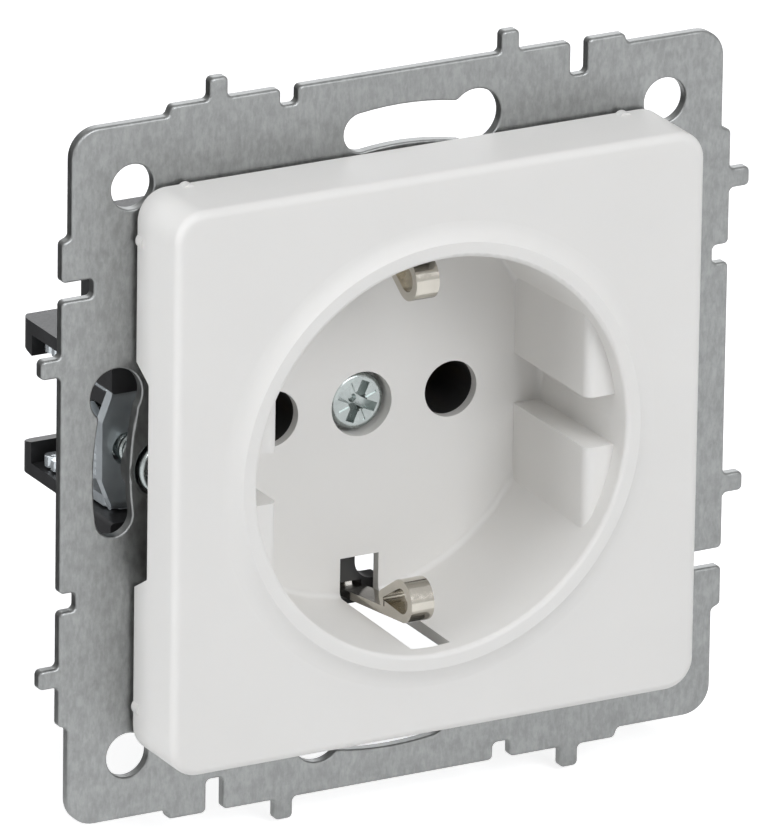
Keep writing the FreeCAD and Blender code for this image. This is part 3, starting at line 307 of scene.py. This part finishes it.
def stretched(tree, vector, factors):
    """Coordinates scaled along each axis."""
    node = tree.nodes.new("ShaderNodeMapping")
    node.inputs["Scale"].default_value = factors
    tree.links.new(vector, node.inputs["Vector"])
    return node.outputs["Vector"]


def sheet_zinc():
    """Zinc-coated sheet: soft clouds and a fine grain drawn out along the rolling direction."""
    finish = settings("finish")
    material, tree, shader = new_material("zinc sheet")
    space = object_space(tree)
    blotch = noise(tree, space, 640.0, 5.0, 0.7)
    tone = ramp(tree, blotch, [
        (0.32, rgba(finish.sheet_zinc, 0.91)),
        (0.68, rgba(finish.sheet_zinc, 1.09)),
    ])
    streak = noise(tree, stretched(tree, space, (1.0, 1.0, 0.4)), 2400.0, 3.0, 0.6)
    fine = ramp(tree, streak, [(0.36, (0.82, 0.82, 0.82, 1.0)), (0.64, (1.0, 1.0, 1.0, 1.0))])
    tree.links.new(mix(tree, 1.0, tone, fine, "MULTIPLY"), shader.inputs["Base Color"])
    shader.inputs["Metallic"].default_value = 1.0
    tree.links.new(grey_ramp(tree, streak, 0.3, 0.72, 0.34, 0.46), shader.inputs["Roughness"])
    bump(tree, shader, streak, 0.16, 0.02 * MM)
    return material


def bend_zone(tree, space, low, high):
    """Nought in the middle of the height and one above and below, between two heights."""
    parts = tree.nodes.new("ShaderNodeSeparateXYZ")
    tree.links.new(space, parts.inputs[0])
    height = tree.nodes.new("ShaderNodeMath")
    height.operation = "ABSOLUTE"
    tree.links.new(parts.outputs["Z"], height.inputs[0])
    zone = tree.nodes.new("ShaderNodeMapRange")
    zone.inputs["From Min"].default_value = low
    zone.inputs["From Max"].default_value = high
    tree.links.new(height.outputs[0], zone.inputs["Value"])
    return zone.outputs["Result"]


def claw_zinc():
    """Bright blue-white zinc on the claws, smooth in the middle and crinkled where it was bent."""
    finish = settings("finish")
    material, tree, shader = new_material("claw zinc")
    space = object_space(tree)
    blotch = noise(tree, space, 300.0, 3.0, 0.5)
    tone = ramp(tree, blotch, [
        (0.3, rgba(finish.claw_zinc, 0.85)),
        (0.72, rgba(finish.claw_zinc, 1.1)),
    ])
    tree.links.new(tone, shader.inputs["Base Color"])
    shader.inputs["Metallic"].default_value = 0.65
    grain = noise(tree, space, 1500.0, 2.0, 0.6)
    tree.links.new(grey_ramp(tree, blotch, 0.3, 0.7, 0.14, 0.26), shader.inputs["Roughness"])
    node = bump(tree, shader, grain, 0.3, 0.06 * MM)
    strength = tree.nodes.new("ShaderNodeMath")
    strength.operation = "MULTIPLY_ADD"
    strength.inputs[1].default_value = 0.9
    strength.inputs[2].default_value = 0.08
    tree.links.new(bend_zone(tree, space, BEND_FROM, BEND_TO), strength.inputs[0])
    tree.links.new(strength.outputs[0], node.inputs["Strength"])
    return material


def screw_zinc():
    """Zinc-plated turned steel of screws, nuts and rivets."""
    finish = settings("finish")
    material, tree, shader = new_material("screw zinc")
    space = object_space(tree)
    blotch = noise(tree, space, 700.0, 3.0)
    tone = ramp(tree, blotch, [
        (0.3, rgba(finish.screw_zinc, 0.8)),
        (0.7, rgba(finish.screw_zinc, 1.12)),
    ])
    tree.links.new(tone, shader.inputs["Base Color"])
    shader.inputs["Metallic"].default_value = 1.0
    tree.links.new(grey_ramp(tree, blotch, 0.3, 0.7, 0.2, 0.34), shader.inputs["Roughness"])
    bump(tree, shader, blotch, 0.12, 0.03 * MM)
    return material


def spring_steel():
    """Zinc-coated pressed steel of the clamps and spring rings."""
    finish = settings("finish")
    material, tree, shader = new_material("spring steel")
    space = object_space(tree)
    blotch = noise(tree, space, 500.0, 4.0)
    tone = ramp(tree, blotch, [
        (0.3, rgba(finish.screw_zinc, 0.66)),
        (0.7, rgba(finish.screw_zinc, 0.95)),
    ])
    tree.links.new(tone, shader.inputs["Base Color"])
    shader.inputs["Metallic"].default_value = 1.0
    tree.links.new(grey_ramp(tree, blotch, 0.3, 0.7, 0.3, 0.45), shader.inputs["Roughness"])
    return material


def nickel_strip():
    """Smooth nickel plating, a little wavy as on rolled strip."""
    finish = settings("finish")
    material, tree, shader = new_material("nickel strip")
    space = object_space(tree)
    wave = noise(tree, space, 300.0, 2.0, 0.4)
    tone = ramp(tree, wave, [
        (0.3, rgba(finish.nickel, 0.9)),
        (0.7, rgba(finish.nickel, 1.08)),
    ])
    tree.links.new(tone, shader.inputs["Base Color"])
    shader.inputs["Metallic"].default_value = 1.0
    fine = noise(tree, space, 2400.0, 3.0)
    tree.links.new(grey_ramp(tree, fine, 0.3, 0.7, 0.1, 0.2), shader.inputs["Roughness"])
    bump(tree, shader, wave, 0.35, 0.05 * MM)
    return material


def contact_brass():
    """Stamped brass with light tarnish."""
    finish = settings("finish")
    material, tree, shader = new_material("contact brass")
    space = object_space(tree)
    tarnish = noise(tree, space, 350.0, 4.0, 0.6)
    tone = ramp(tree, tarnish, [
        (0.3, rgba(finish.brass, 0.7)),
        (0.7, rgba(finish.brass, 1.1)),
    ])
    tree.links.new(tone, shader.inputs["Base Color"])
    shader.inputs["Metallic"].default_value = 1.0
    tree.links.new(grey_ramp(tree, tarnish, 0.3, 0.7, 0.24, 0.42), shader.inputs["Roughness"])
    return material


def dress(names, material):
    """Give nodes of the frame a material."""
    for name in names:
        node = NODES[name]
        node.data.materials.clear()
        node.data.materials.append(material)


# Pieces made here

def claw_thread(name, x, end, material, body):
    """Raised thread along Y round a claw screw's shank, fading out over its first and last turn."""
    cut = settings("thread")
    steps = cut.steps
    foot = cut.pitch * THREAD_FOOT
    crest = cut.pitch * THREAD_CREST
    inner = SHANK_R - THREAD_SUNK
    mesh = bpy.data.meshes.new(name)
    bm = bmesh.new()
    count = int((end - cut.start) / cut.pitch * steps)
    ring = []
    for i in range(count + 1):
        angle = 2 * math.pi * i / steps
        y = cut.start + cut.pitch * i / steps
        fade = min(1.0, i / steps, (count - i) / steps)
        out = SHANK_R + cut.height * fade
        row = []
        for r, dy in ((inner, -foot), (out, -crest), (out, crest), (inner, foot)):
            row.append(bm.verts.new((x + r * math.cos(angle), y + dy, r * math.sin(angle))))
        ring.append(row)
    for a, b in zip(ring, ring[1:]):
        for k in range(4):
            m = (k + 1) % 4
            bm.faces.new((a[k], a[m], b[m], b[k]))
    bm.faces.new(reversed(ring[0]))
    bm.faces.new(ring[-1])
    bmesh.ops.recalc_face_normals(bm, faces=bm.faces)
    bm.to_mesh(mesh)
    bm.free()
    mesh.materials.append(material)
    thread = bpy.data.objects.new(name, mesh)
    bpy.context.scene.collection.objects.link(thread)
    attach(thread, body)


# Operators

class SOCKET_OT_cover(bpy.types.Operator):
    """Finish the white cover plate"""

    bl_idname = "socket.cover"
    bl_label = "Cover plate"

    def execute(self, context):
        dress(["cover_plate", "well_floor"], white_moulding())
        return {"FINISHED"}


class SOCKET_OT_frame(bpy.types.Operator):
    """Finish the zinc-coated support frame"""

    bl_idname = "socket.frame"
    bl_label = "Support frame"

    def execute(self, context):
        dress(["support_frame"], sheet_zinc())
        return {"FINISHED"}


class SOCKET_OT_base(bpy.types.Operator):
    """Finish the black base and its rear cover"""

    bl_idname = "socket.base"
    bl_label = "Base and rear cover"

    def execute(self, context):
        dress([
            "mechanism_base", "corner_columns", "claw_guide_left", "claw_guide_right",
            "rear_cover", "pin_sleeve_left", "pin_sleeve_right"], black_moulding())
        return {"FINISHED"}


class SOCKET_OT_contacts(bpy.types.Operator):
    """Finish the earth strap, the live contacts and the terminals"""

    bl_idname = "socket.contacts"
    bl_label = "Contacts and terminals"

    def execute(self, context):
        dress(["earth_strap"], nickel_strip())
        dress(["live_contact_left", "live_contact_right"], contact_brass())
        steel = spring_steel()
        names = [n for n in NODES if n.startswith(("contact_spring", "terminal_clamp"))]
        dress(names, steel)
        return {"FINISHED"}


class SOCKET_OT_screws(bpy.types.Operator):
    """Finish the screws, the nut and the rivets, and cut the claw screw threads"""

    bl_idname = "socket.screws"
    bl_label = "Screws and rivets"

    def execute(self, context):
        material = screw_zinc()
        names = [n for n in NODES if n.startswith(("terminal_screw", "claw_screw"))]
        dress(names + ["cover_screw", "strap_nut", "rear_cover_screws", "frame_rivets"], material)
        for side in ("left", "right"):
            body = "claw_screw_" + side
            low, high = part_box(body)
            middle = (low.x + high.x) / 2
            claw_thread("claw_thread_" + side, middle, high.y - THREAD_END_GAP, material, body)
        return {"FINISHED"}


class SOCKET_OT_claws(bpy.types.Operator):
    """Finish the spreading claws"""

    bl_idname = "socket.claws"
    bl_label = "Spreading claws"

    def execute(self, context):
        dress(["claw_left", "claw_right"], claw_zinc())
        return {"FINISHED"}


def largest(tree, a, b):
    """Larger one of two values."""
    node = tree.nodes.new("ShaderNodeMath")
    node.operation = "MAXIMUM"
    tree.links.new(a, node.inputs[0])
    tree.links.new(b, node.inputs[1])
    return node.outputs[0]


def product(tree, a, b):
    """Product of two values, the second one a number or a socket."""
    node = tree.nodes.new("ShaderNodeMath")
    node.operation = "MULTIPLY"
    tree.links.new(a, node.inputs[0])
    if isinstance(b, float):
        node.inputs[1].default_value = b
    else:
        tree.links.new(b, node.inputs[1])
    return node.outputs[0]


def painted_reflection_zone(tree, space, reach):
    """Mask of the painted dark reflection: one to the left behind the object, nought elsewhere, painted in
    place of a black sheet that is not there.
    """
    parts = tree.nodes.new("ShaderNodeSeparateXYZ")
    tree.links.new(space, parts.inputs[0])
    sides = []
    for axis, start, end in (("X", 0.0, -reach), ("Y", 0.0, reach)):
        zone = tree.nodes.new("ShaderNodeMapRange")
        zone.inputs["From Min"].default_value = start
        zone.inputs["From Max"].default_value = end
        tree.links.new(parts.outputs[axis], zone.inputs["Value"])
        sides.append(zone.outputs["Result"])
    return product(tree, sides[0], sides[1])


def seen_bright(tree, space, reach):
    """How white the camera, a see-through ray or a reflection sees a place, and how strong the painted dark
    reflection is there.
    """
    path = tree.nodes.new("ShaderNodeLightPath")
    # painted dark reflection: reflections see the place to the left behind the object darker
    reflection_shade = product(tree, painted_reflection_zone(tree, space, reach), PAINTED_REFLECTION_STRENGTH)
    rest = tree.nodes.new("ShaderNodeMath")
    rest.operation = "SUBTRACT"
    rest.inputs[0].default_value = 1.0
    tree.links.new(reflection_shade, rest.inputs[1])
    glossy = path.outputs["Is Glossy Ray"]
    reflected = product(tree, product(tree, glossy, rest.outputs[0]), MIRRORED_WHITE)
    straight = largest(tree, path.outputs["Is Camera Ray"], path.outputs["Is Transmission Ray"])
    return largest(tree, straight, reflected), product(tree, glossy, reflection_shade)


def white_stage_material(name, tone):
    """Pale floor that shows white to the camera and in reflections, and keeps its shadow; to the left behind
    the object its colour is painted dark for reflections only.
    """
    material, tree, shader = new_material(name)
    shader.inputs["Roughness"].default_value = 0.9
    shader.inputs["Specular IOR Level"].default_value = 0.1
    space = object_space(tree)
    cloud = noise(tree, space, 3.0, 1.0)
    pale = ramp(tree, cloud, [(0.3, rgba(tone, 0.99)), (0.7, rgba(tone, 1.0))])
    bright, reflection_shade = seen_bright(tree, space, PAINTED_REFLECTION_REACH_FLOOR)
    # painted dark reflection: the floor's colour goes dark only where reflection rays see it to the left
    # behind
    tree.links.new(mix(tree, reflection_shade, pale, PAINTED_REFLECTION_TONE), shader.inputs["Base Color"])
    shader.inputs["Emission Color"].default_value = WHITE
    tree.links.new(product(tree, bright, FLOOR_GLOW), shader.inputs["Emission Strength"])
    return material


def area_lamp(name, stand, power, in_gloss=True, in_matt=True):
    """Square soft lamp that looks at the object and lights its gloss, its matt colour or both."""
    place, size = stand
    data = bpy.data.lights.new(name, "AREA")
    data.shape = "SQUARE"
    data.size = size
    data.energy = power
    data.color = LAMP_COLOUR
    lamp = bpy.data.objects.new(name, data)
    bpy.context.scene.collection.objects.link(lamp)
    lamp.location = place
    lamp.rotation_euler = (-Vector(place)).to_track_quat("-Z", "Y").to_euler()
    lamp.visible_glossy = in_gloss
    lamp.visible_diffuse = in_matt


def studio_floor(level):
    """Large round floor, wide enough to be the background of every view."""
    bm = bmesh.new()
    rim = []
    for i in range(FLOOR_STEPS):
        angle = 2 * math.pi * i / FLOOR_STEPS
        rim.append(bm.verts.new((FLOOR_R * math.cos(angle), FLOOR_R * math.sin(angle), level)))
    bm.faces.new(rim)
    mesh = bpy.data.meshes.new("studio floor")
    bm.to_mesh(mesh)
    bm.free()
    mesh.materials.append(white_stage_material("studio white", FLOOR_TONE))
    floor = bpy.data.objects.new("studio_floor", mesh)
    bpy.context.scene.collection.objects.link(floor)
    floor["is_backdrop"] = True


def studio_world(strength):
    """Even light from all round, white to the camera, with a painted dark reflection to the left behind the
    object.
    """
    world = bpy.data.worlds.new("studio")
    bpy.context.scene.world = world
    world.use_nodes = True
    tree = world.node_tree
    background = tree.nodes["Background"]
    background.inputs["Color"].default_value = WHITE
    direction = tree.nodes.new("ShaderNodeTexCoord").outputs["Generated"]
    # painted dark reflection: the world is dimmer to reflections on the left behind the object
    bright, _ = seen_bright(tree, direction, PAINTED_REFLECTION_REACH_WORLD)
    level = tree.nodes.new("ShaderNodeMix")
    level.inputs[2].default_value = strength
    level.inputs[3].default_value = 1.0
    tree.links.new(bright, level.inputs[0])
    tree.links.new(level.outputs[0], background.inputs["Strength"])


def studio_camera(studio):
    """Camera at the photograph's angle."""
    data = bpy.data.cameras.new("camera")
    data.lens = studio.lens
    data.sensor_width = SENSOR_WIDTH
    data.clip_start = CLIP_START
    data.clip_end = CLIP_END
    camera = bpy.data.objects.new("camera", data)
    bpy.context.scene.collection.objects.link(camera)
    camera.location = studio.camera_place
    camera.rotation_euler = Euler(studio.camera_turn)
    bpy.context.scene.camera = camera


class SOCKET_OT_stage(bpy.types.Operator):
    """Set the floor, the light and the camera"""

    bl_idname = "socket.stage"
    bl_label = "Studio and camera"

    def execute(self, context):
        studio = settings("studio")
        context.scene.view_settings.view_transform = "Standard"
        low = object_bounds()[0]
        studio_floor(low.z - studio.floor_gap)
        studio_world(studio.world_light)
        area_lamp("key lamp", KEY_LAMP, studio.key_power)
        area_lamp("side lamp", SIDE_LAMP, studio.side_power, in_gloss=False)
        area_lamp("top lamp", TOP_LAMP, studio.top_power, in_gloss=False)
        area_lamp("rim lamp", RIM_LAMP, studio.rim_power, in_matt=False)
        area_lamp("spark lamp", SPARK_LAMP, studio.spark_power, in_matt=False)
        studio_camera(studio)
        return {"FINISHED"}


class SOCKET_PT_panel(bpy.types.Panel):
    """Lists the steps of the socket in the sidebar"""

    bl_idname = "SOCKET_PT_panel"
    bl_label = "Wall socket"
    bl_space_type = "VIEW_3D"
    bl_region_type = "UI"
    bl_category = "Socket"

    def draw(self, context):
        layout = self.layout
        for group in (context.scene.socket_finish, context.scene.socket_thread, context.scene.socket_studio):
            for name in group.__annotations__:
                layout.prop(group, name)
        for step in STEPS:
            layout.operator(step.bl_idname)


STEPS = (
    SOCKET_OT_cover,
    SOCKET_OT_frame,
    SOCKET_OT_base,
    SOCKET_OT_contacts,
    SOCKET_OT_screws,
    SOCKET_OT_claws,
    SOCKET_OT_stage,
)
GROUPS = {"finish": FinishSettings, "thread": ThreadSettings, "studio": StudioSettings}


def register():
    """Register the classes and hang the settings on the scene."""
    for cls in tuple(GROUPS.values()) + STEPS + (SOCKET_PT_panel,):
        bpy.utils.register_class(cls)
    for name, cls in GROUPS.items():
        setattr(bpy.types.Scene, "socket_" + name, PointerProperty(type=cls))


def unregister():
    """Take the settings and the classes away again."""
    for name in GROUPS:
        delattr(bpy.types.Scene, "socket_" + name)
    for cls in reversed(tuple(GROUPS.values()) + STEPS + (SOCKET_PT_panel,)):
        bpy.utils.unregister_class(cls)


def main():
    """Run every step."""
    register()
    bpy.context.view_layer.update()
    bpy.ops.socket.cover()
    bpy.ops.socket.frame()
    bpy.ops.socket.base()
    bpy.ops.socket.contacts()
    bpy.ops.socket.screws()
    bpy.ops.socket.claws()
    bpy.ops.socket.stage()
    bpy.context.view_layer.update()


if __name__ == "__main__":
    main()
